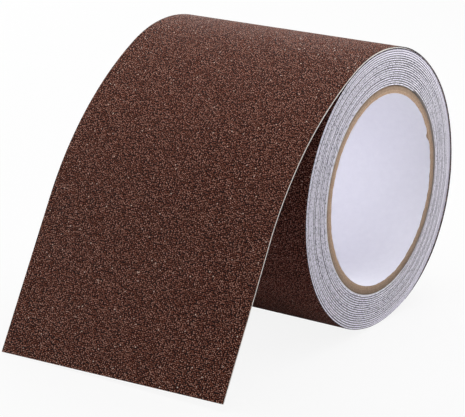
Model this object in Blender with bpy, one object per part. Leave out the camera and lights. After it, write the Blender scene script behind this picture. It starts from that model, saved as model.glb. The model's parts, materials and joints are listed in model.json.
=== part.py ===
"""A roll of anti-slip grit tape on a lined cardboard core, with its free end led down to the floor.

X runs along the core, +Z is up and the free end reaches towards -Y. The origin is on the floor, under the
core's axis, at half the tape's width. Lengths are in metres. An angle on the roll is counted from its top,
positive towards the free end.
"""

from math import atan2, cos, pi, radians, sin

import bmesh
import bpy
from mathutils import Vector
from mathutils.geometry import intersect_point_line

# Core
CORE_BORE = 0.0762
LINING_THICKNESS = 0.00035
CORE_WALL = 0.00272
CORE_FACETS = 96

# Strip: its layers from the grit down to the release liner
TAPE_WIDTH = 0.1016
GRIT_THICKNESS = 0.00020
FILM_THICKNESS = 0.00012
ADHESIVE_THICKNESS = 0.00006
LINER_THICKNESS = 0.00010
LAYER_GAP = 0.00002

# Winding
TURNS = 15
TURN_POINTS = 24
TURN_GAP = 0.00048
FACETS_PAST_FLOOR = 1
START_STRIP_THICKNESS = 0.00015
START_STRIP_FACETS = 8
START_STRIP_MARGIN = 0.004
BOND_GAP = 0.00005

# Outermost turn, under which the roll spins
RUN_CLEARANCE = 0.0003
SEAM_ANGLE = radians(-150)
OUTER_FACETS = 36

# Free end: it leaves the roll, bends on a wider arc and runs straight to the floor
LEAVE_ANGLE = radians(27)
END_SLOPE = radians(61)
END_BEND_RADIUS = 0.128
END_BEND_FACETS = 12
JOINT_GAP = 0.0003
FLAP_LENGTH = 0.030

# Colours and finishes: red, green, blue (linear), roughness
CARDBOARD = (0.31, 0.23, 0.16, 0.9)
WHITE_PAPER = (0.72, 0.71, 0.80, 0.7)
KRAFT_PAPER = (0.50, 0.42, 0.32, 0.8)
LINER_PAPER = (0.80, 0.78, 0.74, 0.5)
BROWN_GRIT = (0.075, 0.030, 0.022, 0.85)
CLEAR_FILM = (0.62, 0.60, 0.64, 0.3)
ADHESIVE = (0.48, 0.46, 0.50, 0.4)

TAPE_THICKNESS = GRIT_THICKNESS + FILM_THICKNESS + ADHESIVE_THICKNESS + 2 * LAYER_GAP
STEP = 2 * pi / TURN_POINTS
LAST = TURNS * TURN_POINTS

LINED_RADIUS = CORE_BORE / 2
BOARD_INNER = LINED_RADIUS + LINING_THICKNESS + BOND_GAP
CORE_RADIUS = BOARD_INNER + CORE_WALL
STRIP_INNER = CORE_RADIUS + BOND_GAP
STRIP_OUTER = STRIP_INNER + START_STRIP_THICKNESS


def on_circle(radius, angle):
    """A point of the side view, as (y, z) from the core's axis."""
    return Vector((-radius * sin(angle), radius * cos(angle)))


# Winding: radii and angles of the loop points

FIRST_RADIUS = (STRIP_OUTER + BOND_GAP) / cos(STEP / 2)
PITCH = (TAPE_THICKNESS + TURN_GAP) / cos(STEP / 2)
FLOOR_FACET = LAST - FACETS_PAST_FLOOR - 1


def tape_radius(point):
    """Radius of the tape's inner side at a loop point, counted from the start of the winding."""
    return FIRST_RADIUS + PITCH * point / TURN_POINTS


def floor_tilt():
    """How far the lowest facet leans because the winding grows along it."""
    front = on_circle(tape_radius(FLOOR_FACET) + TAPE_THICKNESS, -pi - STEP / 2)
    back = on_circle(tape_radius(FLOOR_FACET + 1) + TAPE_THICKNESS, -pi + STEP / 2)
    return atan2(back.y - front.y, back.x - front.x)


LAST_ANGLE = -pi + (0.5 + FACETS_PAST_FLOOR) * STEP - floor_tilt()


def loop_angle(point):
    return LAST_ANGLE - (LAST - point) * STEP


AXIS_HEIGHT = -on_circle(tape_radius(FLOOR_FACET) + TAPE_THICKNESS, loop_angle(FLOOR_FACET)).y
AXIS = Vector((0, AXIS_HEIGHT))

# Outermost turn: radii from its liner up to the grit

OUTER_STEP = (LEAVE_ANGLE - SEAM_ANGLE) / OUTER_FACETS
OUTER_LINER = (tape_radius(LAST) + TAPE_THICKNESS + RUN_CLEARANCE) / cos(OUTER_STEP / 2)
OUTER_TAPE = OUTER_LINER + LINER_THICKNESS + LAYER_GAP
ROLL_RADIUS = OUTER_TAPE + TAPE_THICKNESS

# Free end: the line where it leaves the roll, and depths below the grit

LEAVE_POINT = AXIS + on_circle(ROLL_RADIUS, LEAVE_ANGLE)
FILM_DEPTH = GRIT_THICKNESS + LAYER_GAP
ADHESIVE_DEPTH = FILM_DEPTH + FILM_THICKNESS + LAYER_GAP
LINER_DEPTH = TAPE_THICKNESS + LAYER_GAP
END_DEPTH = LINER_DEPTH + LINER_THICKNESS


def end_normal(slope):
    """Direction out of the grit where the free end dips by this slope."""
    return Vector((-sin(slope), cos(slope)))


def end_direction(slope):
    """Direction along the free end, away from the roll."""
    return Vector((-cos(slope), -sin(slope)))


def bend_point(slope):
    """A point of the grit side on the arc between the roll and the straight run."""
    return LEAVE_POINT + END_BEND_RADIUS * (end_normal(slope) - end_normal(LEAVE_ANGLE))


BEND_END = bend_point(END_SLOPE)
STRAIGHT_LENGTH = (BEND_END.y - END_DEPTH * cos(END_SLOPE)) / sin(END_SLOPE)


def straight_point(before_cut):
    """A point of the grit side on the straight run, this far before the cut end."""
    return BEND_END + end_direction(END_SLOPE) * (STRAIGHT_LENGTH - before_cut)


FLAP_LINE = straight_point(FLAP_LENGTH) - end_normal(END_SLOPE) * END_DEPTH


def bend_stations():
    """Grit-side points of the bend, each with the slope there."""
    first = LEAVE_ANGLE + JOINT_GAP / 2 / END_BEND_RADIUS
    slopes = [first + (END_SLOPE - first) * i / END_BEND_FACETS for i in range(END_BEND_FACETS + 1)]
    return [(bend_point(slope), slope) for slope in slopes]


# Solids

def clear_scene():
    for old in list(bpy.data.objects):
        bpy.data.objects.remove(old, do_unlink=True)


def material(name, finish):
    made = bpy.data.materials.new(name)
    made.use_nodes = True
    shader = made.node_tree.nodes["Principled BSDF"]
    shader.inputs["Base Color"].default_value = (*finish[:3], 1)
    shader.inputs["Roughness"].default_value = finish[3]
    shader.inputs["Metallic"].default_value = 0
    return made


def solid(name, inner, outer, width, origin, finish, closed=False):
    """Extrude the band between two rows of side-view points along X, with the origin on the joint's axis."""
    grid = bmesh.new()
    rows = []
    for row in (inner, outer):
        rows.append([grid.verts.new((-width / 2, p.x - origin.x, p.y - origin.y)) for p in row])
    stations = len(inner)
    for i in range(stations if closed else stations - 1):
        after = (i + 1) % stations
        grid.faces.new((rows[0][i], rows[0][after], rows[1][after], rows[1][i]))
    grown = bmesh.ops.extrude_face_region(grid, geom=grid.faces[:])
    moved = [item for item in grown["geom"] if isinstance(item, bmesh.types.BMVert)]
    bmesh.ops.translate(grid, vec=(width, 0, 0), verts=moved)
    bmesh.ops.recalc_face_normals(grid, faces=grid.faces[:])
    mesh = bpy.data.meshes.new(name)
    grid.to_mesh(mesh)
    grid.free()
    mesh.shade_smooth()
    mesh.set_sharp_from_angle(angle=radians(30))
    mesh.materials.append(material(name, finish))
    made = bpy.data.objects.new(name, mesh)
    made.location = (0, origin.x, origin.y)
    bpy.context.collection.objects.link(made)


def ring(name, inner_radius, outer_radius, finish):
    """A closed tube round the core's axis, as long as the tape is wide."""
    angles = [2 * pi * i / CORE_FACETS for i in range(CORE_FACETS)]
    inner = [AXIS + on_circle(inner_radius, angle) for angle in angles]
    outer = [AXIS + on_circle(outer_radius, angle) for angle in angles]
    solid(name, inner, outer, TAPE_WIDTH, AXIS, finish, closed=True)


def start_strip():
    """The sticky strip that holds the first turn, on the facets of the core where the winding starts."""
    facet = 2 * pi / CORE_FACETS
    first = round(loop_angle(0) / facet)
    angles = [(first + i) * facet for i in range(START_STRIP_FACETS + 1)]
    inner = [AXIS + on_circle(STRIP_INNER, angle) for angle in angles]
    outer = [AXIS + on_circle(STRIP_OUTER, angle) for angle in angles]
    solid("start_strip", inner, outer, TAPE_WIDTH - 2 * START_STRIP_MARGIN, AXIS, KRAFT_PAPER)


def spiral(first_point, radius_shift, thickness):
    """Inner and outer side-view points of a strip that winds out round the core."""
    inner = []
    outer = []
    for point in range(first_point, LAST + 1):
        radius = tape_radius(point) + radius_shift
        inner.append(AXIS + on_circle(radius, loop_angle(point)))
        outer.append(AXIS + on_circle(radius + thickness, loop_angle(point)))
    return inner, outer


def least_gap(lower, upper):
    """Smallest distance from points along one side to the other side, one turn further out."""
    least = TAPE_WIDTH
    for i in range(len(upper) - TURN_POINTS - 1):
        start = upper[i + TURN_POINTS]
        end = upper[i + TURN_POINTS + 1]
        for point in (lower[i], (lower[i] + lower[i + 1]) / 2, lower[i + 1]):
            _, share = intersect_point_line(point, start, end)
            near = start.lerp(end, min(max(share, 0), 1))
            least = min(least, (near - point).length)
    return least


def winding():
    tape_inner, tape_outer = spiral(0, 0, TAPE_THICKNESS)
    solid("wound_tape", tape_inner, tape_outer, TAPE_WIDTH, AXIS, BROWN_GRIT)
    middle_of_gap = -(TURN_GAP / cos(STEP / 2) + LINER_THICKNESS) / 2
    liner_inner, liner_outer = spiral(TURN_POINTS, middle_of_gap, LINER_THICKNESS)
    solid("wound_liner", liner_inner, liner_outer, TAPE_WIDTH, AXIS, LINER_PAPER)
    print(f"least gap of wound_tape to itself: {least_gap(tape_outer, tape_inner) * 1000:.3f} mm")
    print(f"least gap of wound_liner to itself: {least_gap(liner_outer, liner_inner) * 1000:.3f} mm")


def outer_turn():
    last = LEAVE_ANGLE - JOINT_GAP / 2 / ROLL_RADIUS
    angles = [SEAM_ANGLE + (last - SEAM_ANGLE) * i / OUTER_FACETS for i in range(OUTER_FACETS + 1)]
    layers = (
        ("outer_turn_liner", OUTER_LINER, LINER_THICKNESS, LINER_PAPER),
        ("outer_turn_tape", OUTER_TAPE, TAPE_THICKNESS, BROWN_GRIT),
    )
    for name, radius, thickness, finish in layers:
        inner = [AXIS + on_circle(radius, angle) for angle in angles]
        outer = [AXIS + on_circle(radius + thickness, angle) for angle in angles]
        solid(name, inner, outer, TAPE_WIDTH, Vector((0, 0)), finish)


def end_layer(name, stations, depth, thickness, origin, finish):
    """One layer of the free end, from its depth below the grit."""
    inner = [point - end_normal(slope) * (depth + thickness) for point, slope in stations]
    outer = [point - end_normal(slope) * depth for point, slope in stations]
    solid(name, inner, outer, TAPE_WIDTH, origin, finish)


def free_end():
    cut_end = (straight_point(0), END_SLOPE)
    full = bend_stations() + [cut_end]
    end_layer("end_grit_coat", full, 0, GRIT_THICKNESS, LEAVE_POINT, BROWN_GRIT)
    end_layer("end_film", full, FILM_DEPTH, FILM_THICKNESS, LEAVE_POINT, CLEAR_FILM)
    end_layer("end_adhesive", full, ADHESIVE_DEPTH, ADHESIVE_THICKNESS, LEAVE_POINT, ADHESIVE)
    above_flap = bend_stations() + [(straight_point(FLAP_LENGTH + JOINT_GAP / 2), END_SLOPE)]
    end_layer("end_liner", above_flap, LINER_DEPTH, LINER_THICKNESS, LEAVE_POINT, LINER_PAPER)
    flap = [(straight_point(FLAP_LENGTH - JOINT_GAP / 2), END_SLOPE), cut_end]
    end_layer("liner_flap", flap, LINER_DEPTH, LINER_THICKNESS, FLAP_LINE, LINER_PAPER)


clear_scene()
ring("core_lining", LINED_RADIUS, LINED_RADIUS + LINING_THICKNESS, WHITE_PAPER)
ring("core_board", BOARD_INNER, CORE_RADIUS, CARDBOARD)
start_strip()
winding()
outer_turn()
free_end()
print(f"core axis {AXIS_HEIGHT:.6f} m up, roll radius {ROLL_RADIUS:.6f} m")
print(f"free end leaves at {LEAVE_POINT.x:.6f}, {LEAVE_POINT.y:.6f} m")
print(f"flap line at {FLAP_LINE.x:.6f}, {FLAP_LINE.y:.6f} m")
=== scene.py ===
# %% [markdown]
# # A roll of anti-slip grit tape
# The object is one long laminated strip: brown mineral grit in lacquer, a plastic film, an adhesive and a
# paper release liner. It is wound on a cardboard core that is lined with white paper, and its free end is
# led off the top and down to the floor. The measured solids come first; everything below dresses them.

# %% Load the measured parts
import json
from math import atan2, cos, hypot, pi, radians, sin

import bpy
import numpy as np
from mathutils import Matrix, Vector


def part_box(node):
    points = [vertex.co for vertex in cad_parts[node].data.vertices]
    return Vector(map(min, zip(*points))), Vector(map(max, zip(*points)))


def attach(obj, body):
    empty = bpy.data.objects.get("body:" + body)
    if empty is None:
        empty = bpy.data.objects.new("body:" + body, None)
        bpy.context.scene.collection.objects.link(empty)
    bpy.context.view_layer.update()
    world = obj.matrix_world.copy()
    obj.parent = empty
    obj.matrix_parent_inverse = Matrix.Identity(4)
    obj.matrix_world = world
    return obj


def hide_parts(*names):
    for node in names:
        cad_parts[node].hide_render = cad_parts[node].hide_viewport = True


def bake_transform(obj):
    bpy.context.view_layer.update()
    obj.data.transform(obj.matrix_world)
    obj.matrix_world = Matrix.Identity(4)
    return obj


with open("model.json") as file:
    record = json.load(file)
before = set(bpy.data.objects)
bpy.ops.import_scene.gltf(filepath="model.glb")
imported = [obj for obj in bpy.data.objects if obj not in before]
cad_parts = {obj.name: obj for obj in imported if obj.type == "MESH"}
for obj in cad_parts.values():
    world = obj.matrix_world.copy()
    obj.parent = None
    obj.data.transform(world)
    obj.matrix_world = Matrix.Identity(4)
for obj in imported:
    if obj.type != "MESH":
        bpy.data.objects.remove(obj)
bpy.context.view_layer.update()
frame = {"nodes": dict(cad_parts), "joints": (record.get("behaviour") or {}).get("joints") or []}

print("parts:", ", ".join(sorted(frame["nodes"])))

# %% [markdown]
# ## Sizes
# Places come from the joints and boxes of the measured parts, so that nothing here can drift away from
# them. Only what no box shows, such as a layer's thickness, is written as a value. The white lining is
# drawn thinner than its solid and the board takes up the rest, because only a thin white line shows round
# the bore. Blender works in metres, and `MM` keeps the small sizes readable.

# %% Sizes of the roll
MM = 0.001
joint_place = {joint["name"]: Vector(joint["pos_m"]) for joint in frame["joints"]}
AXIS_HEIGHT = joint_place["roll_spin"].z
LEAVE_PLACE = joint_place["end_lift"]
HALF_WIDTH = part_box("end_grit_coat")[1].x
CORE_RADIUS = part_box("core_board")[1].y
LINING_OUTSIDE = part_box("core_lining")[1].y
LINING_GAP = 0.35 * MM
LINING_THICKNESS = 0.12 * MM
BORE_RADIUS = LINING_OUTSIDE - LINING_GAP
WOUND_RADIUS = 55.50 * MM
LEAVE_ANGLE = atan2(-LEAVE_PLACE.y, LEAVE_PLACE.z - AXIS_HEIGHT)
CAD_ROLL_RADIUS = hypot(LEAVE_PLACE.y, LEAVE_PLACE.z - AXIS_HEIGHT)
print(f"width {2 * HALF_WIDTH / MM:.1f} mm, axis {AXIS_HEIGHT / MM:.2f} mm up")
print(f"core to {CORE_RADIUS / MM:.2f} mm, winding to {WOUND_RADIUS / MM:.2f} mm")
print(f"outermost turn to {CAD_ROLL_RADIUS / MM:.2f} mm")

# %% [markdown]
# ## Camera
# The picture was matched by fitting a camera to the outlines of the core, the winding and the free end. A
# long lens from under a metre away gives the mild perspective. Blender's lens is in millimetres of a 36 mm
# wide sensor, so the fitted focal length in pixels is scaled by the picture's width.

# %% Camera at the photograph's angle
PICTURE_WIDTH = 465
FOCAL_PIXELS = 2028.0
CAMERA_AZIMUTH = radians(34.107)
CAMERA_ELEVATION = radians(16.965)
CAMERA_ROLL = radians(0.486)
CAMERA_DISTANCE = 0.7953
CAMERA_TARGET = Vector((0, -0.02891, 0.04620))
SENSOR_WIDTH = 36.0

back = Vector((
    sin(CAMERA_AZIMUTH) * cos(CAMERA_ELEVATION),
    -cos(CAMERA_AZIMUTH) * cos(CAMERA_ELEVATION),
    sin(CAMERA_ELEVATION),
))
level_right = Vector((cos(CAMERA_AZIMUTH), sin(CAMERA_AZIMUTH), 0))
level_up = back.cross(level_right)
right = level_right * cos(CAMERA_ROLL) + level_up * sin(CAMERA_ROLL)
up = level_up * cos(CAMERA_ROLL) - level_right * sin(CAMERA_ROLL)
camera_data = bpy.data.cameras.new("camera")
camera_data.sensor_width = SENSOR_WIDTH
camera_data.lens = SENSOR_WIDTH * FOCAL_PIXELS / PICTURE_WIDTH
camera = bpy.data.objects.new("camera", camera_data)
camera.matrix_world = Matrix.Translation(CAMERA_TARGET + back * CAMERA_DISTANCE) @ (
    Matrix((right, up, back)).transposed().to_4x4()
)
bpy.context.scene.collection.objects.link(camera)
bpy.context.scene.camera = camera
print(f"lens {camera_data.lens:.1f} mm, {CAMERA_DISTANCE:.2f} m away")

# %% [markdown]
# ## Helpers for materials
# Colours are written as sRGB hex values, as a paint program shows them, and turned to the linear values
# that the shader works with. One function adds any node, sets its values and links it, so that a material
# below reads as a list of its nodes. Another starts a material from its roughness and IOR, which are set
# straight on the shader because they are single values.

# %% Colour and node helpers
def linear(hex_colour):
    """The linear colour of an sRGB hex value, with full opacity."""
    shares = [int(hex_colour[i:i + 2], 16) / 255 for i in (1, 3, 5)]
    return [s / 12.92 if s <= 0.04045 else ((s + 0.055) / 1.055) ** 2.4 for s in shares] + [1.0]


def add_node(tree, kind, values=None, links=None, stops=(), **settings):
    """A new node of a kind, with its settings, its sockets' values and the sockets that feed it.

    stops are a colour ramp's (position, hex colour) pairs from left to right.
    """
    node = tree.nodes.new(kind)
    for name, value in settings.items():
        setattr(node, name, value)
    for socket, value in (values or {}).items():
        node.inputs[socket].default_value = value
    for socket, source in (links or {}).items():
        tree.links.new(source, node.inputs[socket])
    if stops:
        elements = node.color_ramp.elements
        while len(elements) < len(stops):
            elements.new(1.0)
        for element, (position, colour) in zip(elements, stops):
            element.position = position
            element.color = linear(colour)
    return node


def new_material(name, roughness, ior):
    """A material with a Principled shader, its node tree and the shader."""
    material = bpy.data.materials.new(name)
    material.use_nodes = True
    shader = material.node_tree.nodes["Principled BSDF"]
    shader.inputs["Roughness"].default_value = roughness
    shader.inputs["IOR"].default_value = ior
    return material, material.node_tree, shader


print("dark brown is", [round(c, 3) for c in linear("#4b2d26")])

# %% [markdown]
# ## Light
# A soft studio light. A large lamp overhead makes the top of the roll paler. One on the left lights the
# free end from the side and reaches into the bore's far end, a weak one behind it fills the back, and a
# small one on the right lights the near end face. A bright world alone would be simpler, but nothing would
# then shade the curve of the roll, so the world only adds a little from everywhere. To the camera and in
# reflections it is plain white.

# %% World and lamps
WORLD_STRENGTH = 0.10
ROLL_MIDDLE = (0, 0, 0.06)
NEAR_FACE_MIDDLE = (0.05, 0, 0.06)


def area_lamp(name, place, target, size, watts):
    """A square soft lamp that faces a target."""
    lamp = bpy.data.lights.new(name, "AREA")
    lamp.size = size
    lamp.energy = watts
    holder = bpy.data.objects.new(name, lamp)
    holder.location = place
    holder.rotation_euler = (Vector(target) - Vector(place)).to_track_quat("-Z", "Y").to_euler()
    bpy.context.scene.collection.objects.link(holder)


area_lamp("overhead", (0.0, 0.25, 0.95), ROLL_MIDDLE, size=0.9, watts=8.0)
area_lamp("left", (-1.05, -0.35, 0.25), ROLL_MIDDLE, size=0.7, watts=9.3)
area_lamp("back_left", (-0.8, 0.6, 0.35), ROLL_MIDDLE, size=0.7, watts=3.2)
area_lamp("right", (0.45, 0.42, 0.16), NEAR_FACE_MIDDLE, size=0.25, watts=1.95)

bpy.context.scene.view_settings.view_transform = "Standard"
world = bpy.data.worlds.new("studio")
bpy.context.scene.world = world
world.use_nodes = True
tree = world.node_tree
tree.nodes.clear()
path = add_node(tree, "ShaderNodeLightPath")
seen = add_node(tree, "ShaderNodeMath", operation="MAXIMUM",
                links={0: path.outputs["Is Camera Ray"], 1: path.outputs["Is Glossy Ray"]})
seen = add_node(tree, "ShaderNodeMath", operation="MAXIMUM",
                links={0: seen.outputs[0], 1: path.outputs["Is Transmission Ray"]})
light = add_node(tree, "ShaderNodeBackground", {"Color": linear("#ffffff"), "Strength": WORLD_STRENGTH})
white = add_node(tree, "ShaderNodeBackground", {"Color": linear("#ffffff"), "Strength": 1.0})
either = add_node(tree, "ShaderNodeMixShader",
                  links={0: seen.outputs[0], 1: light.outputs[0], 2: white.outputs[0]})
add_node(tree, "ShaderNodeOutputWorld", links={"Surface": either.outputs[0]})
print("world", WORLD_STRENGTH, "and four lamps")

# %% [markdown]
# ## Floor
# A studio photographer stands such a roll on white board. A plain pale floor would look grey at this light,
# and more light would bleach the roll, so the floor glows white to the camera by a share. The rest of it
# still shows the roll's faint shadow.

# %% White board under the roll
FLOOR_SIZE = 8.0
FLOOR_WHITE_SHARE = 0.88
FLOOR_DROP = 0.05 * MM

floor_mesh = bpy.data.meshes.new("floor")
reach = FLOOR_SIZE / 2
floor_mesh.from_pydata([(-reach, -reach, 0), (reach, -reach, 0), (reach, reach, 0), (-reach, reach, 0)],
                       [], [(0, 1, 2, 3)])
floor = bpy.data.objects.new("floor", floor_mesh)
floor.location.z = -FLOOR_DROP
bpy.context.scene.collection.objects.link(floor)
# Painted board: matt, so that it gives a soft shadow and no mirror image
material, tree, shader = new_material("white_painted_board", roughness=0.9, ior=1.45)
shader.inputs["Base Color"].default_value = linear("#dedede")
path = add_node(tree, "ShaderNodeLightPath")
seen = add_node(tree, "ShaderNodeMath", {1: FLOOR_WHITE_SHARE}, operation="MULTIPLY",
                links={0: path.outputs["Is Camera Ray"]})
glow = add_node(tree, "ShaderNodeEmission", {"Color": linear("#ffffff"), "Strength": 1.0})
mixed = add_node(tree, "ShaderNodeMixShader",
                 links={0: seen.outputs[0], 1: shader.outputs[0], 2: glow.outputs[0]})
tree.links.new(mixed.outputs[0], tree.nodes["Material Output"].inputs["Surface"])
floor_mesh.materials.append(material)
print(f"floor {FLOOR_SIZE:.0f} m wide, {FLOOR_WHITE_SHARE:.0%} white to the camera")

# %% [markdown]
# ## Grit
# Anti-slip tape is made by sprinkling crushed mineral, here a brown one, on wet lacquer and sealing it with
# more. Grains could be scattered as small meshes, but the strip holds millions. A cell pattern makes them
# here: a point's tone comes mostly from how near it is to the middle of its cell, which paints light on the
# grains and shade in the gaps, and partly from the cell's own tone, and a few cells are painted glints. The
# real grains are about a third of a millimetre. They are drawn 0.68 mm apart, because a pixel of the picture
# is 0.4 mm wide and finer ones would blur to a flat brown.

# %% Pattern of the grit
GRAIN_MM = 0.68
GRAIN_SCATTER = 0.7
GRAIN_EDGE = 0.6
GRAIN_BUMP = 0.12 * MM
# Share of the grit's tone that is painted light on the grains and painted shade in the gaps
PAINTED_LIGHT_AND_SHADE_SHARE = 0.75
# Painted glints: the palest cells are made paler still, standing in for highlights
PAINTED_GLINT_FROM = 0.992
PAINTED_GLINT_FULL = 0.996
PAINTED_GLINT_STRENGTH = 0.6
BLOTCH_MM = 9.0
BLOTCH_CHANGE = 0.08
LACQUER_SPECULAR = 0.10
SMOOTHEST_GRAIN = 0.55
ROUGHEST_GRAIN = 0.95

# Where a point was on the flat strip, in millimetres, so that patterns follow the strip as it bends
FLAT_PLACE = "flat_mm"

# Sockets of a Mix node, which has one set for values and one for colours
VALUE_A = 2
VALUE_B = 3
COLOUR_A = 6
COLOUR_B = 7
COLOUR_OUT = 2


def grit_material(name, stops):
    """Lacquered grit, whose tones run through the stops from the painted shade of the gaps to the painted
    glints.
    """
    material, tree, shader = new_material(name, roughness=0.7, ior=1.5)
    shader.inputs["Specular IOR Level"].default_value = LACQUER_SPECULAR
    place = add_node(tree, "ShaderNodeAttribute", attribute_name=FLAT_PLACE).outputs["Vector"]
    grains = add_node(tree, "ShaderNodeTexVoronoi", {"Scale": 1 / GRAIN_MM, "Randomness": GRAIN_SCATTER},
                      {"Vector": place}, voronoi_dimensions="2D")
    tone = add_node(tree, "ShaderNodeSeparateColor", links={"Color": grains.outputs["Color"]})
    # Nearness to a grain's middle: painted light on the grains and painted shade in the gaps
    near = add_node(tree, "ShaderNodeMapRange", {"From Max": GRAIN_EDGE, "To Min": 1.0, "To Max": 0.0},
                    {"Value": grains.outputs["Distance"]})
    mixed = add_node(tree, "ShaderNodeMix", {"Factor": PAINTED_LIGHT_AND_SHADE_SHARE},
                     {VALUE_A: tone.outputs["Red"], VALUE_B: near.outputs["Result"]})
    # Painted glints: a few cells are made pale, standing in for highlights
    painted_glint = add_node(tree, "ShaderNodeMapRange",
                     {"From Min": PAINTED_GLINT_FROM, "From Max": PAINTED_GLINT_FULL, "To Max": PAINTED_GLINT_STRENGTH},
                     {"Value": tone.outputs["Blue"]})
    tone_with_painted_light = add_node(tree, "ShaderNodeMath", operation="MULTIPLY_ADD",
                      links={0: painted_glint.outputs["Result"], 1: near.outputs["Result"], 2: mixed.outputs[0]})
    ramp = add_node(tree, "ShaderNodeValToRGB", links={"Fac": tone_with_painted_light.outputs[0]}, stops=stops)
    blotch = add_node(tree, "ShaderNodeTexNoise", {"Scale": 1 / BLOTCH_MM, "Detail": 3.0}, {"Vector": place})
    shade = add_node(tree, "ShaderNodeMapRange", {"To Min": 1 - BLOTCH_CHANGE, "To Max": 1 + BLOTCH_CHANGE},
                     {"Value": blotch.outputs["Fac"]})
    colour = add_node(tree, "ShaderNodeMix", {"Factor": 1.0},
                      {COLOUR_A: ramp.outputs["Color"], COLOUR_B: shade.outputs["Result"]},
                      data_type="RGBA", blend_type="MULTIPLY")
    tree.links.new(colour.outputs[COLOUR_OUT], shader.inputs["Base Color"])
    gloss = add_node(tree, "ShaderNodeMapRange", {"To Min": SMOOTHEST_GRAIN, "To Max": ROUGHEST_GRAIN},
                     {"Value": tone.outputs["Green"]})
    tree.links.new(gloss.outputs["Result"], shader.inputs["Roughness"])
    bump = add_node(tree, "ShaderNodeBump", {"Strength": 0.8, "Distance": GRAIN_BUMP},
                    {"Height": grains.outputs["Distance"]}, invert=True)
    tree.links.new(bump.outputs["Normal"], shader.inputs["Normal"])
    return material


print(f"grains {GRAIN_MM} mm apart, blotches {BLOTCH_MM} mm wide")

# %% Brown mineral grit
# Lacquered grit: a deep brown, with painted shade near black in the gaps and painted glints on single grains
brown_grit = grit_material("lacquered_brown_mineral_grit", [
    (0.08, "#030000"), (0.26, "#190703"), (0.44, "#572415"),
    (0.62, "#864834"), (0.76, "#ad7f6b"), (0.86, "#f0e2d6"),
])
# Painted shade: a darker, duller copy of the grit for the outside of the winding, made for where it lies in
# shade under the free end
painted_shade_grit = grit_material("painted_shade_brown_mineral_grit", [
    (0.08, "#0b0403"), (0.26, "#220d09"), (0.44, "#55271d"),
    (0.62, "#794437"), (0.76, "#8f665a"), (0.86, "#b7a298"),
])
print("made", brown_grit.name, painted_shade_grit.name)

# %% [markdown]
# ## Film, liner and paper
# The film and adhesive show only at their edges, where a blade slit the strip and dragged grit across. The
# liner is smooth coated paper, and the bore is lined with plain white paper. All are pale sheets with a
# darker grain, so one function makes them, from two colours and a level of noise. On the outer turns at the
# back of the roll the slit edges are painted paler, as painted light where they catch the light, so there
# the speckle falls away. The specks are drawn coarser than real ones, which a pixel of 0.4 mm would blur.

# %% Pale sheets
SPECK_MM = 0.7
SHEET_BUMP = 0.08 * MM
# Painted light: where the outer turns at the back of the winding are painted paler, as if they catch the
# light
PAINTED_LIGHT_START_MM = 3500
PAINTED_LIGHT_END_MM = 4050
PAINTED_LIGHT_FRONT = -30 * MM
PAINTED_LIGHT_BACK = 20 * MM


def pale_material(name, colour, dark, roughness, ior, grain_mm, contrast, level=0.5, painted_light=0.0):
    """A pale sheet: one colour, speckled towards a darker one where the grain falls below a level.

    painted_light is how far the sheet is painted paler on the outer turns at the back of the winding, as
    painted light where they catch it.
    """
    material, tree, shader = new_material(name, roughness, ior)
    place = add_node(tree, "ShaderNodeAttribute", attribute_name=FLAT_PLACE).outputs["Vector"]
    grain = add_node(tree, "ShaderNodeTexNoise", {"Scale": 1 / grain_mm, "Detail": 4.0, "Roughness": 0.7},
                     {"Vector": place})
    run = add_node(tree, "ShaderNodeSeparateXYZ", links={"Vector": place})
    # Painted light: the speckle shifts towards the pale colour on the outer turns at the back, where they
    # catch the light
    painted_light_along = add_node(tree, "ShaderNodeMapRange",
                       {"From Min": PAINTED_LIGHT_START_MM, "From Max": PAINTED_LIGHT_END_MM, "To Max": painted_light},
                       {"Value": run.outputs["Y"]})
    spot = add_node(tree, "ShaderNodeTexCoord").outputs["Object"]
    across = add_node(tree, "ShaderNodeSeparateXYZ", links={"Vector": spot})
    behind = add_node(tree, "ShaderNodeMapRange", {"From Min": PAINTED_LIGHT_FRONT, "From Max": PAINTED_LIGHT_BACK},
                      {"Value": across.outputs["Y"]})
    speckle = add_node(tree, "ShaderNodeMath", operation="MULTIPLY_ADD",
                       links={0: painted_light_along.outputs["Result"], 1: behind.outputs["Result"],
                              2: grain.outputs["Fac"]})
    ramp = add_node(tree, "ShaderNodeValToRGB", links={"Fac": speckle.outputs[0]},
                    stops=[(level - contrast, dark), (level + contrast, colour)])
    tree.links.new(ramp.outputs["Color"], shader.inputs["Base Color"])
    bump = add_node(tree, "ShaderNodeBump", {"Strength": 0.5, "Distance": SHEET_BUMP},
                    {"Height": grain.outputs["Fac"]})
    tree.links.new(bump.outputs["Normal"], shader.inputs["Normal"])
    return material


# Slit vinyl and adhesive: a cool white edge with a little gloss, dark specks of dragged grit, and painted
# light that pales the outer turns at the back
slit_film = pale_material("slit_vinyl_film_and_adhesive", "#f3eeff", "#5c5874", roughness=0.35, ior=1.5,
                          grain_mm=0.9, contrast=0.08, level=0.43, painted_light=0.18)
# Slit grit: a matt, dark and broken line, grey where lacquer bridges the grains, and paler on the outer turns
# at the back as painted light
slit_grit = pale_material("slit_grit_and_lacquer", "#948ea2", "#0c080b", roughness=0.8, ior=1.5,
                          grain_mm=SPECK_MM, contrast=0.05, level=0.61, painted_light=0.20)
# Cast vinyl: smooth and slightly glossy, a warm white line along the free end
vinyl_film = pale_material("cast_vinyl_film", "#f0eae2", "#ddd5cc", roughness=0.35, ior=1.5,
                           grain_mm=SPECK_MM, contrast=0.3)
# Release paper: its silicone coat gives a soft, even shine and hardly any grain
release_paper = pale_material("silicone_coated_release_paper", "#eeecef", "#d9d6dc", roughness=0.4, ior=1.46,
                              grain_mm=1.5, contrast=0.3)
# Lining paper: uncoated, so a dead matt white with a faint mottle
core_paper = pale_material("white_core_lining_paper", "#f8f7ff", "#f0eff8", roughness=0.75, ior=1.46,
                           grain_mm=2.5, contrast=0.3)
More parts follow.
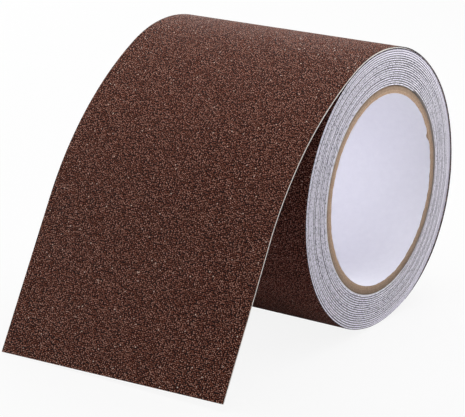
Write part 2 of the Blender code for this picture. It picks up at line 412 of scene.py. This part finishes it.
# Kraft paper: unbleached pulp, a matt tan
kraft_paper = pale_material("sticky_kraft_paper", "#b9a58a", "#a08b6e", roughness=0.7, ior=1.46,
                            grain_mm=1.2, contrast=0.3)
print("made", slit_film.name, slit_grit.name, vinyl_film.name)
print("made", release_paper.name, core_paper.name, kraft_paper.name)

# %% [markdown]
# ## Wound board
# The core is a tube of grey-brown paper plies, glued and wound in a spiral. Its cut end shows them as
# rings. The rings could be modelled one by one, but each is about a third of a millimetre, so a noise of
# the radius draws them. A second noise gives the pulp's fibres, drawn coarser than real ones so that they
# show. In the picture the ring is darker towards its outside, partly its own tone and partly painted shade
# where it meets the winding, and paler on one side, so two slow ramps set the tone.

# %% Board with its plies
PLY_MM = 0.38
FIBRE_MM = 0.6
BOARD_BUMP = 0.1 * MM
INNER_PLY_TONE = 1.1
# The outer edge's tone is partly painted shade where the ring meets the winding
OUTER_TONE_AND_SHADE = 0.5
PALE_SIDE = (0, -0.45, 0.9)
DARK_SIDE_TONE = 0.68
PALE_SIDE_TONE = 1.36


def board_material():
    """Grey board: plies and fibres, times a tone that changes outwards, partly as painted shade at the
    winding, and from side to side.
    """
    material, tree, shader = new_material("spiral_wound_grey_board", roughness=0.9, ior=1.46)
    place = add_node(tree, "ShaderNodeTexCoord").outputs["Object"]
    offset = add_node(tree, "ShaderNodeVectorMath", {1: (0, 0, AXIS_HEIGHT)}, {0: place},
                      operation="SUBTRACT")
    flat = add_node(tree, "ShaderNodeVectorMath", {1: (0, 1, 1)}, {0: offset.outputs[0]},
                    operation="MULTIPLY")
    radius = add_node(tree, "ShaderNodeVectorMath", links={0: flat.outputs[0]}, operation="LENGTH")
    plies = add_node(tree, "ShaderNodeMath", {1: 1 / (PLY_MM * MM)}, {0: radius.outputs["Value"]},
                     operation="MULTIPLY")
    bands = add_node(tree, "ShaderNodeTexNoise", {"Scale": 1.0, "Detail": 2.0}, {"W": plies.outputs[0]},
                     noise_dimensions="1D")
    fibre = add_node(tree, "ShaderNodeTexNoise", {"Scale": 1 / (FIBRE_MM * MM), "Detail": 5.0},
                     {"Vector": place})
    both = add_node(tree, "ShaderNodeMath", links={0: bands.outputs["Fac"], 1: fibre.outputs["Fac"]},
                    operation="ADD")
    halve = add_node(tree, "ShaderNodeMath", {1: 0.5}, {0: both.outputs[0]}, operation="MULTIPLY")
    ramp = add_node(tree, "ShaderNodeValToRGB", links={"Fac": halve.outputs[0]},
                    stops=[(0.3, "#8a6f58"), (0.5, "#ad917a"), (0.7, "#c9b098")])
    # Darker outwards: partly the board's own tone, partly painted shade where the ring meets the winding
    outward_tone_and_shade = add_node(tree, "ShaderNodeMapRange",
                       {"From Min": BORE_RADIUS, "From Max": CORE_RADIUS,
                        "To Min": INNER_PLY_TONE, "To Max": OUTER_TONE_AND_SHADE},
                       {"Value": radius.outputs["Value"]})
    side = add_node(tree, "ShaderNodeVectorMath", {1: PALE_SIDE}, {0: offset.outputs[0]},
                    operation="DOT_PRODUCT")
    drift = add_node(tree, "ShaderNodeMapRange",
                     {"From Min": -CORE_RADIUS, "From Max": CORE_RADIUS,
                      "To Min": DARK_SIDE_TONE, "To Max": PALE_SIDE_TONE},
                     {"Value": side.outputs["Value"]})
    tone = add_node(tree, "ShaderNodeMath", operation="MULTIPLY",
                    links={0: outward_tone_and_shade.outputs["Result"], 1: drift.outputs["Result"]})
    colour = add_node(tree, "ShaderNodeMix", {"Factor": 1.0},
                      {COLOUR_A: ramp.outputs["Color"], COLOUR_B: tone.outputs[0]},
                      data_type="RGBA", blend_type="MULTIPLY")
    tree.links.new(colour.outputs[COLOUR_OUT], shader.inputs["Base Color"])
    bump = add_node(tree, "ShaderNodeBump", {"Strength": 0.5, "Distance": BOARD_BUMP},
                    {"Height": halve.outputs[0]})
    tree.links.new(bump.outputs["Normal"], shader.inputs["Normal"])
    return material


# Grey board: dry and fully matt, tan inside and darker brown outside, partly painted shade where it meets the
# winding, with faint rings
wound_board = board_material()
print("made", wound_board.name)

# %% [markdown]
# ## Making a strip
# Every layer is a ribbon that follows a line in the side view. A curve with a flat profile would do for a
# smooth tape, but grit has to stand out of this one, and layers have to stay in order where they bend. So
# each ribbon is built point by point: a fine grid on its upper side, a plain underside and closed edges.
# Each point remembers where it lay on the flat strip, and the patterns above read that.

# %% Piece from points and faces
def make_piece(name, places, flat_places, faces, materials, sharp_angle):
    """An object from a mesh, with its points' places on the flat strip and edges sharper than an angle."""
    mesh = bpy.data.meshes.new(name)
    mesh.from_pydata(places.tolist(), [], faces)
    remembered = mesh.attributes.new(FLAT_PLACE, "FLOAT_VECTOR", "POINT")
    remembered.data.foreach_set("vector", (flat_places / MM).ravel())
    mesh.shade_smooth()
    mesh.set_sharp_from_angle(angle=sharp_angle)
    for material in materials:
        mesh.materials.append(material)
    piece = bpy.data.objects.new(name, mesh)
    bpy.context.scene.collection.objects.link(piece)
    print(f"{name}: {len(places)} points, {len(faces)} faces")
    return piece


def ribbon_faces(rows, columns):
    """Faces of a ribbon, and the numbers of those along its two long edges."""
    upper = np.arange(rows * columns).reshape(rows, columns)
    lower = rows * columns + np.arange(rows * 2).reshape(rows, 2)

    def quads(a, b):
        """Faces between two lines of points."""
        return np.stack([a[:-1], a[1:], b[1:], b[:-1]], axis=-1).reshape(-1, 4).tolist()

    faces = []
    for column in range(columns - 1):
        faces += quads(upper[:, column], upper[:, column + 1])
    first_edge = len(faces)
    faces += quads(upper[:, -1], lower[:, 1])
    faces += quads(lower[:, 0], upper[:, 0])
    edges = range(first_edge, len(faces))
    faces += quads(lower[:, 1], lower[:, 0])
    faces.append(upper[0].tolist() + [int(lower[0, 1]), int(lower[0, 0])])
    faces.append(upper[-1][::-1].tolist() + [int(lower[-1, 0]), int(lower[-1, 1])])
    return faces, edges


print("a ribbon of 3 rows and 2 columns has", len(ribbon_faces(3, 2)[0]), "faces")

# %% Ribbon builder
RIBBON_SHARP = radians(50)


def ribbon(name, line, depth, thickness, cells, material, slit=None,
           relief=None, wander=None, skew=None, lift=None):
    """A closed strip along a line of rows (y, z, normal y, normal z, run, scale).

    depth is how far its upper side lies under the line, and a row's scale thins the strip there. slit is the
    material of the two long edges, where it differs. relief lifts upper points by their place on the strip,
    wander moves the two edges out, and skew shifts points along the strip. lift raises both sides alike. It
    changes evenly across the strip, so that layers with few cells and with many stay in order.
    """
    y, z, normal_y, normal_z, run, scale = np.asarray(line).T[:, :, None]
    rows = len(line)
    columns = cells + 1
    top_x = np.repeat(np.linspace(-1, 1, columns)[None, :] * HALF_WIDTH, rows, axis=0)
    if wander is not None:
        top_x[:, 0] -= wander(run[:, 0], 0)
        top_x[:, -1] += wander(run[:, 0], 1)
    runs = np.repeat(run, columns, axis=1)
    slip = np.zeros_like(top_x) if skew is None else skew(top_x, runs)
    depths = np.broadcast_to(depth, rows)[:, None]
    low_depths = depths + np.broadcast_to(thickness, rows)[:, None]
    top_high = (-depths if relief is None else relief(top_x, runs) - depths) * scale + np.zeros_like(top_x)
    ends = [0, columns - 1]
    low_high = np.repeat(-low_depths * scale, 2, axis=1)

    def layer(x, high, slid, at):
        """Places of one side's points, in space and on the flat strip."""
        raised = high if lift is None else high + lift(x, at)
        places = [x, y + normal_y * raised - normal_z * slid, z + normal_z * raised + normal_y * slid]
        flat_places = [x, at + slid, high]
        return np.stack(places, axis=2).reshape(-1, 3), np.stack(flat_places, axis=2).reshape(-1, 3)

    upper, upper_flat = layer(top_x, top_high, slip, runs)
    lower, lower_flat = layer(top_x[:, ends], low_high, slip[:, ends], runs[:, ends])
    faces, edges = ribbon_faces(rows, columns)
    materials = [material] if slit is None else [material, slit]
    piece = make_piece(name, np.concatenate([upper, lower]), np.concatenate([upper_flat, lower_flat]), faces,
                       materials, RIBBON_SHARP)
    if slit is not None:
        for number in edges:
            piece.data.polygons[number].material_index = 1
    return piece


print(f"edges of a ribbon sharper than {np.degrees(RIBBON_SHARP):.0f} degrees stay sharp")

# %% [markdown]
# ## Relief of the grit
# Bump alone leaves the mesh smooth, so the larger lumps of grit are lifted for real. A displacement
# modifier could do it with a texture and a UV map, but the mesh is built point by point anyway, so the
# height is simply added. Points are scattered one to a cell of the flat strip, and each point of the mesh
# rises with its nearness to the closest one. The draw is seeded, so every run gives the same lumps.

# %% Lumps of grit
LUMP_SPACING = 1.0 * MM
LUMP_HEIGHT = 0.06 * MM
LUMP_LEAST = 0.4
LUMP_SEED = 7
SCATTER_CELLS = 512
SCATTER = np.random.default_rng(LUMP_SEED).random((SCATTER_CELLS, SCATTER_CELLS, 3))


def grit_relief(x, run):
    """Height of the lumps at places on the strip, at most zero."""
    u = x / LUMP_SPACING
    v = run / LUMP_SPACING
    cell_u = np.floor(u).astype(int)
    cell_v = np.floor(v).astype(int)
    height = np.zeros_like(x)
    for du in (-1, 0, 1):
        for dv in (-1, 0, 1):
            lump = SCATTER[(cell_u + du) % SCATTER_CELLS, (cell_v + dv) % SCATTER_CELLS]
            apart = np.hypot(cell_u + du + lump[..., 0] - u, cell_v + dv + lump[..., 1] - v)
            tall = LUMP_LEAST + (1 - LUMP_LEAST) * lump[..., 2]
            height = np.maximum(height, tall * np.clip(1 - apart, 0, 1))
    return (height - 1) * LUMP_HEIGHT


print("lumps up to", LUMP_HEIGHT / MM, "mm")

# %% [markdown]
# ## The line of the free end
# The strip lies on the roll as far as the line where it leaves, bends on a wider arc, and runs straight to
# the floor. It could be drawn as a free curve, but two arcs and a straight line meet the measured hinge
# exactly. A run of zero is the leaving line: it is negative on the roll and positive on the free end. On
# the roll the strip lies looser in some places than in others and tapers out at its seam.

# %% Line of the outermost turn and free end
STRIP_THICKNESS = 0.58 * MM
SNUG_GAP = 0.06 * MM
SNUG_RADIUS = WOUND_RADIUS + SNUG_GAP
SNUG_ANGLE = radians(-30)
SEAM_ANGLE = radians(-157)
# How thick the strip looks on the roll: (degrees from the top, share)
LOOSENESS = [
    (-157, 0.05), (-150, 0.45), (-141, 0.8), (-132, 1.0), (-121, 1.4), (-110, 1.65), (-96, 1.35), (-85, 0.75),
    (-72, 0.55), (-60, 0.65), (-38, 0.4), (-19, 1.2), (27, 1),
]
END_SLOPE = radians(60.65)
BEND_RADIUS = 128 * MM
LEAVE_LINE = np.array([LEAVE_PLACE.y, LEAVE_PLACE.z])
BEND_LENGTH = BEND_RADIUS * (END_SLOPE - LEAVE_ANGLE)
SEAM_RUN = CAD_ROLL_RADIUS * (SEAM_ANGLE - LEAVE_ANGLE)


def normal_at(slope):
    """Direction out of the strip, in the side view, where it dips by a slope."""
    return np.array([-sin(slope), cos(slope)])


def ease(share):
    """A smooth rise from 0 to 1."""
    share = min(max(share, 0.0), 1.0)
    return share * share * (3 - 2 * share)


BEND_END = LEAVE_LINE + BEND_RADIUS * (normal_at(END_SLOPE) - normal_at(LEAVE_ANGLE))
STRAIGHT_LENGTH = (BEND_END[1] - STRIP_THICKNESS * cos(END_SLOPE)) / sin(END_SLOPE)
END_LENGTH = BEND_LENGTH + STRAIGHT_LENGTH


def strip_row(run):
    """Side view of the grit side at a run: y, z, normal y, normal z, run, scale."""
    scale = 1.0
    if run < 0:
        angle = LEAVE_ANGLE + run / CAD_ROLL_RADIUS
        normal = normal_at(angle)
        scale = np.interp(np.degrees(angle), *zip(*LOOSENESS))
        lifted = ease((angle - SNUG_ANGLE) / (LEAVE_ANGLE - SNUG_ANGLE))
        lift = (CAD_ROLL_RADIUS - STRIP_THICKNESS - SNUG_RADIUS) * lifted
        place = (SNUG_RADIUS + lift + STRIP_THICKNESS * scale) * normal + [0, AXIS_HEIGHT]
    elif run < BEND_LENGTH:
        normal = normal_at(LEAVE_ANGLE + run / BEND_RADIUS)
        place = LEAVE_LINE + BEND_RADIUS * (normal - normal_at(LEAVE_ANGLE))
    else:
        normal = normal_at(END_SLOPE)
        place = BEND_END + (run - BEND_LENGTH) * np.array([-cos(END_SLOPE), -sin(END_SLOPE)])
    return [*place, *normal, run, scale]


def strip_line(first, last, step):
    """Rows of the strip between two runs."""
    count = max(2, round((last - first) / step) + 1)
    return [strip_row(run) for run in np.linspace(first, last, count)]


print(f"free end {END_LENGTH / MM:.1f} mm long, outermost turn {-SEAM_RUN / MM:.1f} mm")

# %% [markdown]
# ## A hand-cut, slightly twisted end
# The real end looks cut by hand, with its near edge a little short. It also springs: the near edge bulges
# as it comes off the roll, and the far edge lies looser on the roll's top. A cloth simulation could find
# such a twist, but a stiff tape holds a simple one, so two short tables give it.

# %% Slant and twist of the strip
CUT_SKEW = 2.5 * MM
SKEW_LENGTH = 40 * MM
# How far each edge stands off the strip's line: (run in mm, height in mm)
NEAR_LIFT = [(0, 0), (18, 0.5), (38, 1.0), (70, 1.2), (88, 0.9), (105, 0.6), (120, 0.6), (138, 0.45)]
FAR_LIFT = [(-100, 0), (-75, 0.25), (-47, 0.5), (-20, 0.15), (0, 0)]


def near_share(x):
    """How near a place across the strip is to the near edge, from 0 to 1."""
    return (x / HALF_WIDTH + 1) / 2


def cut_skew(x, run):
    """Shortens the near edge towards the cut end."""
    along = np.clip((run - END_LENGTH + SKEW_LENGTH) / SKEW_LENGTH, 0, 1)
    return -CUT_SKEW * near_share(x) * along


def strip_lift(x, run):
    """Twists the strip, evenly across its width."""
    near = near_share(x)
    at = run / MM
    return MM * (near * np.interp(at, *zip(*NEAR_LIFT)) + (1 - near) * np.interp(at, *zip(*FAR_LIFT)))


print(f"cut end {CUT_SKEW / MM} mm out of square, twist up to {max(lift for _, lift in NEAR_LIFT)} mm")

# %% [markdown]
# ## Layers of the free end
# The strip is a laminate: grit on a film with its adhesive, and the liner under it. One solid band with
# stripes on its edge would look the same from afar, but the liner has to peel, so each layer is a ribbon of
# its own. On the free end the pale film shows most of the edge, and on the roll the grit's edge covers it,
# so film and liner are set back there. Towards the seam the edges draw in and the turn melts into the
# winding. All layers have rows at the same spacing, so that none cuts through another where the strip
# folds.

# %% Edges of the layers
GRID = 0.7 * MM
# Place of the run in a row of a line
RUN = 4
# Share of the strip's thickness that is grit: (run, share)
GRIT_SHARES = [(-50 * MM, 0.84), (-25 * MM, 0.22)]
EDGE_SET_BACK = 0.30 * MM
SET_BACK_START = -25 * MM
SET_BACK_END = -50 * MM
SEAM_TUCK = 0.5 * MM
TUCK_LENGTH = 25 * MM


def grit_depth(line):
    """Thickness of the grit along a line."""
    return STRIP_THICKNESS * np.interp([row[RUN] for row in line], *zip(*GRIT_SHARES))


def grit_edge(run, edge):
    """How far the grit's edges stand out: they draw in towards the seam."""
    return -SEAM_TUCK * np.clip((SEAM_RUN + TUCK_LENGTH - run) / TUCK_LENGTH, 0, 1)


def film_edge(run, edge):
    """How far the edges of film and liner stand out: on the roll they lie behind the grit's edge."""
    behind = np.clip((run - SET_BACK_START) / (SET_BACK_END - SET_BACK_START), 0, 1)
    return grit_edge(run, edge) - EDGE_SET_BACK * behind


print(f"layers drawn every {GRID / MM} mm, edges set back {EDGE_SET_BACK / MM} mm on the roll")

# %% Grit, film and liner
LINER_SHARE = 0.14
GRIT_OVERHANG = 0.10 * MM
FLAP_PIECE_LENGTH = 45 * MM
LINER_THICKNESS = STRIP_THICKNESS * LINER_SHARE
LINER_DEPTH = STRIP_THICKNESS - LINER_THICKNESS
FLAP_RUN = END_LENGTH - FLAP_PIECE_LENGTH

grit_line = strip_line(SEAM_RUN, END_LENGTH + GRIT_OVERHANG, GRID)
grit_strip = ribbon("grit_coat_strip", grit_line, 0, grit_depth(grit_line), round(2 * HALF_WIDTH / GRID),
                    brown_grit, slit_grit, relief=grit_relief, wander=grit_edge, skew=cut_skew,
                    lift=strip_lift)
film_line = strip_line(SEAM_RUN, END_LENGTH, GRID)
film_strip = ribbon("film_strip", film_line, grit_depth(film_line), LINER_DEPTH - grit_depth(film_line), 1,
                    vinyl_film, wander=film_edge, skew=cut_skew, lift=strip_lift)
liner_strip = ribbon("liner_strip", strip_line(SEAM_RUN, FLAP_RUN, GRID), LINER_DEPTH, LINER_THICKNESS, 1,
                     release_paper, wander=film_edge, skew=cut_skew, lift=strip_lift)
for piece in (grit_strip, film_strip, liner_strip):
    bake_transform(piece)
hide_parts("outer_turn_tape", "end_grit_coat")
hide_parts("end_film", "end_adhesive")
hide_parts("outer_turn_liner", "end_liner")

# %% [markdown]
# ## Liner flap
# A person who uses the tape first picks the liner off at the cut end, so the liner's last 45 mm is a piece
# of its own. It lies on the tape like the rest of the liner.

# %% Flap at the cut end
flap_strip = ribbon("liner_flap_strip", strip_line(FLAP_RUN, END_LENGTH, GRID), LINER_DEPTH,
                    LINER_THICKNESS, 1, release_paper, skew=cut_skew, lift=strip_lift)
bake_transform(flap_strip)
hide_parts("liner_flap")

# %% [markdown]
# ## The winding
# The strip is wound on the core from the inside out. An even spiral would be the simplest line, but a real
# turn lies flat on the one below and steps up only where it passes the end of the first, so each turn here
# keeps its radius and then rises by one layer over a third of a turn. The last turn thins out over the same
# stretch. A soft roll is never perfect: the edges wander by a tenth or two of a millimetre, the outer turns
# have slid a little sideways, and the roll is dented where it stands.

# %% Spiral of the winding
LAYERS = 16
STEP_SHARE = 0.35
THIN_END = 0.03
LEADER_GAP = 0.30 * MM
PITCH = (WOUND_RADIUS - CORE_RADIUS - LEADER_GAP) / LAYERS
BASE_RADIUS = CORE_RADIUS + LEADER_GAP - PITCH
WINDING_SEAM = radians(-157.5)
# How far the outside is pressed in: (degrees from the top towards the free end, mm)
DENT = [(156, 0), (168, 0.4), (180, 0.55), (186, 0.6), (192, 0.55), (198, 0.35), (204, 0.05), (208, 0)]
# The floor can press on the roll only within 60 degrees of straight down, whose cosine this is
FLOOR_COSINE = 0.5
# Keeps a whole turn from counting as the turn before it
ROUNDING = 1e-9


def turn_length(turn):
    """Length of strip wound by a turn."""
    return 2 * pi * (BASE_RADIUS * turn + PITCH * turn ** 2 / 2)


def spiral_row(turn, share):
    """Side view of the winding at a turn and a share of its pitch: y, z, normal y, normal z, run, scale."""
    layer = int(turn + ROUNDING)
    step = ease((turn - layer) / STEP_SHARE)
    angle = WINDING_SEAM + 2 * pi * turn
    scale = 1.0 if layer < LAYERS else max(1 - step, THIN_END)
    radius = BASE_RADIUS + PITCH * (layer + step) + PITCH * share * scale
    room = min(AXIS_HEIGHT / max(-cos(angle), FLOOR_COSINE) - WOUND_RADIUS, 0)
    sag = min(room, -MM * np.interp(np.degrees(angle) % 360, *zip(*DENT)))
    radius += sag * ((radius - CORE_RADIUS) / (WOUND_RADIUS - CORE_RADIUS)) ** 2
    normal = normal_at(angle)
    return [normal[0] * radius, normal[1] * radius + AXIS_HEIGHT, *normal, turn_length(turn), scale]


def spiral_rows(first_turn, last_turn, share, per_turn):
    """Rows of the winding between two turns."""
    count = round((last_turn - first_turn) * per_turn) + 1
    return [spiral_row(turn, share) for turn in np.linspace(first_turn, last_turn, count)]


print(f"{LAYERS} layers, {PITCH / MM:.3f} mm apart, {turn_length(LAYERS):.2f} m of strip")

# %% Edges of the winding
EDGE_WANDER = 0.20 * MM
TELESCOPE = 0.35 * MM
WAVE_COUNT = 12
WAVE_DAMPING = 4
# Waves in one turn
SLOWEST_WAVE = 0.15
FASTEST_WAVE = 3.2
WAVE_SEED = 11
WAVES = np.random.default_rng(WAVE_SEED)
WAVE_SIZES = WAVES.normal(size=(2, WAVE_COUNT))
WAVE_TURNS = WAVES.uniform(SLOWEST_WAVE, FASTEST_WAVE, size=(2, WAVE_COUNT))
WAVE_STARTS = WAVES.uniform(0, 2 * pi, size=(2, WAVE_COUNT))


def edge_wander(run, edge):
    """How far the edge of the strip stands out at a length."""
    turn = (np.sqrt(BASE_RADIUS ** 2 + PITCH * run / pi) - BASE_RADIUS) / PITCH
    waves = np.sin(turn[:, None] * WAVE_TURNS[edge] * 2 * pi + WAVE_STARTS[edge]) * WAVE_SIZES[edge]
    shift = TELESCOPE * np.clip(turn / LAYERS, 0, 1) * (-1 if edge else 1)
    return EDGE_WANDER * np.tanh(waves.sum(axis=1) / WAVE_DAMPING) + shift


print(f"edges wander {EDGE_WANDER / MM} mm, outer turns slid {TELESCOPE / MM} mm")

# %% [markdown]
# ## Layers of the winding
# At the end face each turn shows as a white line of liner, a pale band of film and a dark line of grit. A
# striped picture on a flat ring could draw that, but it would not catch the light, so each layer is one
# unbroken ribbon. The liner stands a little proud and the grit a little back, so that the white lines stay
# sharp. Only the last turn shows its grit from outside, so only that stretch has a fine grid with lumps.

# %% Liner, film and grit of the winding
WOUND_LINER = 0.14
WOUND_FILM = 0.47
WOUND_GRIT = 0.35
FILM_TOP = WOUND_LINER + WOUND_FILM
GRIT_TOP = FILM_TOP + WOUND_GRIT
LINER_PROUD = 0.06 * MM
GRIT_BEHIND = 0.12 * MM
FIRST_TURN = STEP_SHARE
LAST_TURN = LAYERS + STEP_SHARE
OUTSIDE_TURN = LAST_TURN - 1
TURN_ROWS = 180
OUTSIDE_ROWS = 300
OUTSIDE_GRID = 1.2 * MM


def wound_layer(name, first_turn, last_turn, low, high, material, slit=None,
                proud=0.0, cells=1, per_turn=TURN_ROWS, relief=None):
    """One layer of the spiral, between two shares of the pitch, whose edges stand proud of the others."""
    rows = spiral_rows(first_turn, last_turn, high, per_turn)

    def edge(run, side):
        return edge_wander(run, side) + proud

    return ribbon(name, rows, 0, (high - low) * PITCH, cells, material, slit, relief=relief, wander=edge)


wound_liner = wound_layer("wound_liner_edge", FIRST_TURN, LAST_TURN, 0.0, WOUND_LINER, release_paper,
                          proud=LINER_PROUD)
wound_film = wound_layer("wound_film_edge", FIRST_TURN, LAST_TURN, WOUND_LINER, FILM_TOP, slit_film)
wound_grit = wound_layer("wound_grit_edge", FIRST_TURN, OUTSIDE_TURN, FILM_TOP, GRIT_TOP, slit_grit,
                         proud=-GRIT_BEHIND)
# The outside of the last turn uses the grit with painted shade
wound_outside = wound_layer("wound_grit_outside", OUTSIDE_TURN, LAST_TURN, FILM_TOP, GRIT_TOP, painted_shade_grit,
                            slit_grit, cells=round(2 * HALF_WIDTH / OUTSIDE_GRID), per_turn=OUTSIDE_ROWS,
                            relief=grit_relief)
for piece in (wound_liner, wound_film, wound_grit, wound_outside):
    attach(piece, "roll")
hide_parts("wound_liner")
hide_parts("wound_tape")
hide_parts("wound_tape")
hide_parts("wound_tape")

# %% [markdown]
# ## Liner leader
# Under the first turn a bare stretch of liner lies on the core, and it shows as a white line round part of
# it. The spiral could start earlier, but the leader lies flat on the core, so its rows come from a circle.

# %% Liner leader on the core
LEADER_START = radians(40)
LEADER_END = radians(205)
LEADER_ROWS = 90
LEADER_CLEARANCE = 0.02 * MM
LEADER_RADIUS = CORE_RADIUS + LEADER_GAP - LEADER_CLEARANCE


def leader_row(angle):
    """Side view of the leader at an angle: y, z, normal y, normal z, run, scale."""
    normal = normal_at(angle)
    place = normal * LEADER_RADIUS + [0, AXIS_HEIGHT]
    return [*place, *normal, LEADER_RADIUS * angle, 1.0]


leader_line = [leader_row(angle) for angle in np.linspace(LEADER_START, LEADER_END, LEADER_ROWS)]
leader = ribbon("liner_leader", leader_line, 0, LEADER_GAP - 2 * LEADER_CLEARANCE, 1, release_paper)
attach(leader, "roll")

# %% [markdown]
# ## The core
# A paper tube is wound endless and sawn to length, so its ends are a little rough and its edges soft. A
# cylinder with a bevel would be too perfect, so the tube is turned from an outline, step by step, and each
# step can be roughened. Below the axis the wall swells inwards slightly, because the picture's bore is a
# little flat there.

# %% Turned ring builder
RING_STEPS = 240
RING_SHARP = radians(40)
END_ZONE = 0.9
# How far the wall swells inwards: (degrees from the top towards the free end, mm)
WALL_SWELL = [(50, 0), (105, 0.25), (145, 0.45), (225, 0.45), (270, 0.3), (310, 0.05), (330, 0)]


def turned_ring(name, outline, material, ragged):
    """A closed ring with ragged ends, turned about the core's axis from an outline of (x, radius) points."""
    points = []
    for angle in np.linspace(0, 2 * pi, RING_STEPS, endpoint=False):
        swell = MM * np.interp(np.degrees(angle), *zip(*WALL_SWELL))
        for x, radius in outline:
            at_end = abs(x) > END_ZONE * HALF_WIDTH
            shift = ragged(angle) * (1 if x > 0 else -1) if at_end else 0
            radius -= swell * (CORE_RADIUS - radius) / (CORE_RADIUS - BORE_RADIUS)
            points.append((x + shift, -radius * sin(angle), radius * cos(angle) + AXIS_HEIGHT))
    count = len(outline)
    faces = []
    for step in range(RING_STEPS):
        here = step * count
        there = (step + 1) % RING_STEPS * count
        for i in range(count):
            j = (i + 1) % count
            faces.append((here + i, here + j, there + j, there + i))
    places = np.array(points)
    return make_piece(name, places, places, faces, [material], RING_SHARP)


def ring_outline(inner, outer, softness):
    """Outline of a tube wall with softened corners, counterclockwise seen with x to the right."""
    x = HALF_WIDTH
    return [
        (-x + softness, inner), (-x, inner + softness), (-x, outer - softness), (-x + softness, outer),
        (x - softness, outer), (x, outer - softness), (x, inner + softness), (x - softness, inner),
    ]


print(f"rings turned in {RING_STEPS} steps")

# %% [markdown]
# ## Tube and lining
# The lining is a thin white sleeve that was sawn with the tube. Paper tears where board is cut, so its edge
# is slightly ragged, with one small chip. A noise could make the roughness, but sine waves with whole
# counts round the ring close by themselves, so three of unlike lengths are added.

# %% Core tube and lining
BOARD_SOFTNESS = 0.25 * MM
LINING_SOFTNESS = 0.04 * MM
# Roughness of the sawn ends: a height, and waves of (count round the ring, start)
BOARD_FRAY = 0.05 * MM
BOARD_WAVES = [(17, 0), (41, 1), (73, 2)]
LINING_FRAY = 0.06 * MM
LINING_WAVES = [(13, 0), (29, 2), (61, 4)]
CHIP_ANGLE = radians(-68)
CHIP_DEPTH = 0.9 * MM
CHIP_WIDTH = radians(2.0)


def board_ragged(angle):
    """How far the board's sawn end stands out at an angle."""
    return BOARD_FRAY * sum(sin(count * angle + start) for count, start in BOARD_WAVES)


def lining_ragged(angle):
    """How far the lining's end stands out at an angle: it ripples, and it has one chip."""
    ripple = LINING_FRAY * sum(sin(count * angle + start) for count, start in LINING_WAVES)
    turn = (angle - CHIP_ANGLE + pi) % (2 * pi) - pi
    return ripple - CHIP_DEPTH * np.exp(-(turn / CHIP_WIDTH) ** 2)


BOARD_INNER = BORE_RADIUS + LINING_THICKNESS
core_tube = turned_ring("core_tube", ring_outline(BOARD_INNER, CORE_RADIUS, BOARD_SOFTNESS), wound_board,
                        board_ragged)
core_sleeve = turned_ring("core_sleeve", ring_outline(BORE_RADIUS, BOARD_INNER, LINING_SOFTNESS), core_paper,
                          lining_ragged)
for piece, node in ((core_tube, "core_board"), (core_sleeve, "core_lining")):
    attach(piece, "roll")
    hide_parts(node)

# %% [markdown]
# ## Start strip
# A short sticky strip holds the first turn on the core. It lies hidden under the winding and its solid has
# the right shape, so it only gets its paper.

# %% Paper of the start strip
frame["nodes"]["start_strip"].data.materials.clear()
frame["nodes"]["start_strip"].data.materials.append(kraft_paper)
print("start strip in", kraft_paper.name)
